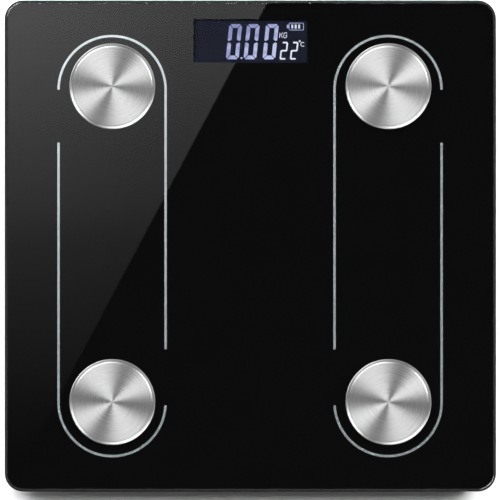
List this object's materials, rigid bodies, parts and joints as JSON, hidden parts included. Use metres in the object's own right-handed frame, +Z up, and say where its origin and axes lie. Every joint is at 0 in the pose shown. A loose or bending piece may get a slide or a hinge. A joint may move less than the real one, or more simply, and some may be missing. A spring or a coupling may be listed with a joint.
{
  "type": "digital bathroom scale",
  "caption": "Square body scale: bevelled black glass top with round steel electrodes, printed foot tracks and a toe-end display, on a slim plastic base with rubber feet.",
  "frame": {"origin": "on the floor, under the middle of the glass", "axes": "+X to the user's right, +Y from the heels to the toes, where the display is, and +Z up"},
  "size_m": [0.3, 0.3, 0.027],
  "materials": {
    "glass": "clear tempered glass with ground and polished edges",
    "film": "black print layer",
    "tape": "white foam tape",
    "housing": "black moulded plastic with a fine texture",
    "stainless": "spun stainless steel with fine circular lines and a polished rim",
    "nickel": "bright nickel plate",
    "cell_steel": "ground steel",
    "rubber": "matte dark grey",
    "board": "green solder mask",
    "panel": "dark liquid-crystal panel",
    "backlight": "white light guide",
    "elastomer": "grey elastomer",
    "epoxy": "black moulded resin",
    "shield": "tinned steel",
    "button": "dark grey moulded plastic",
    "jacket": "plain blue sleeve",
    "red_wire": "red insulation",
    "black_wire": "black insulation",
    "white_wire": "white insulation"
  },
  "bodies": {
    "scale_body": {"glass_platform": "glass", "backing_film": "film", "bond_tape": "tape", "top_frame": "housing", "bottom_cover": "housing", "cover_screw_left": "nickel", "cover_screw_right": "nickel", "cover_screw_toe_left": "nickel", "cover_screw_toe_right": "nickel", "cover_screw_heel_left": "nickel", "cover_screw_heel_right": "nickel", "electrode_toe_left": "stainless", "electrode_toe_right": "stainless", "electrode_heel_left": "stainless", "electrode_heel_right": "stainless", "electrode_nut_toe_left": "nickel", "electrode_nut_toe_right": "nickel", "electrode_nut_heel_left": "nickel", "electrode_nut_heel_right": "nickel", "electrode_lead_toe_left": "white_wire", "electrode_lead_toe_right": "white_wire", "electrode_lead_heel_left": "white_wire", "electrode_lead_heel_right": "white_wire", "load_cell_toe_left": "cell_steel", "load_cell_toe_right": "cell_steel", "load_cell_heel_left": "cell_steel", "load_cell_heel_right": "cell_steel", "cell_cable_toe_left": "white_wire", "cell_cable_toe_right": "white_wire", "cell_cable_heel_left": "white_wire", "cell_cable_heel_right": "white_wire", "main_board": "board", "display_panel": "panel", "display_backlight": "backlight", "display_holder": "housing", "zebra_connector": "elastomer", "controller_chip": "epoxy", "radio_module": "shield", "tact_switch": "epoxy", "board_screw_left": "nickel", "board_screw_right": "nickel", "battery_1": "jacket", "battery_2": "jacket", "battery_3": "jacket", "contact_positive": "nickel", "contact_negative": "nickel", "contact_bridge_left": "nickel", "contact_bridge_right": "nickel", "battery_lead_positive": "red_wire", "battery_lead_negative": "black_wire"},
    "support_toe_left": {"support_pad_toe_left": "rubber", "support_cup_toe_left": "housing"},
    "support_toe_right": {"support_pad_toe_right": "rubber", "support_cup_toe_right": "housing"},
    "support_heel_left": {"support_pad_heel_left": "rubber", "support_cup_heel_left": "housing"},
    "support_heel_right": {"support_pad_heel_right": "rubber", "support_cup_heel_right": "housing"},
    "unit_button": {"unit_button": "button"},
    "battery_door": {"battery_door": "housing"}
  },
  "joints": [
    {"name": "support_toe_left_press", "type": "slide", "parent": "scale_body", "child": "support_toe_left", "axis": [0, 0, 1], "range_m": [0, 0.0006], "stiffness_N_per_m": 2000, "springref_m": -0.003},
    {"name": "support_toe_right_press", "type": "slide", "parent": "scale_body", "child": "support_toe_right", "axis": [0, 0, 1], "range_m": [0, 0.0006], "stiffness_N_per_m": 2000, "springref_m": -0.003},
    {"name": "support_heel_left_press", "type": "slide", "parent": "scale_body", "child": "support_heel_left", "axis": [0, 0, 1], "range_m": [0, 0.0006], "stiffness_N_per_m": 2000, "springref_m": -0.003},
    {"name": "support_heel_right_press", "type": "slide", "parent": "scale_body", "child": "support_heel_right", "axis": [0, 0, 1], "range_m": [0, 0.0006], "stiffness_N_per_m": 2000, "springref_m": -0.003},
    {"name": "unit_button_press", "type": "slide", "parent": "scale_body", "child": "unit_button", "axis": [0, 0, 1], "range_m": [0, 0.0006], "stiffness_N_per_m": 2500},
    {"name": "battery_door_hinge", "type": "hinge", "parent": "scale_body", "child": "battery_door", "pos_m": [0, 0.0156, 0.0058], "axis": [-1, 0, 0], "range_deg": [0, 100]}
  ]
}
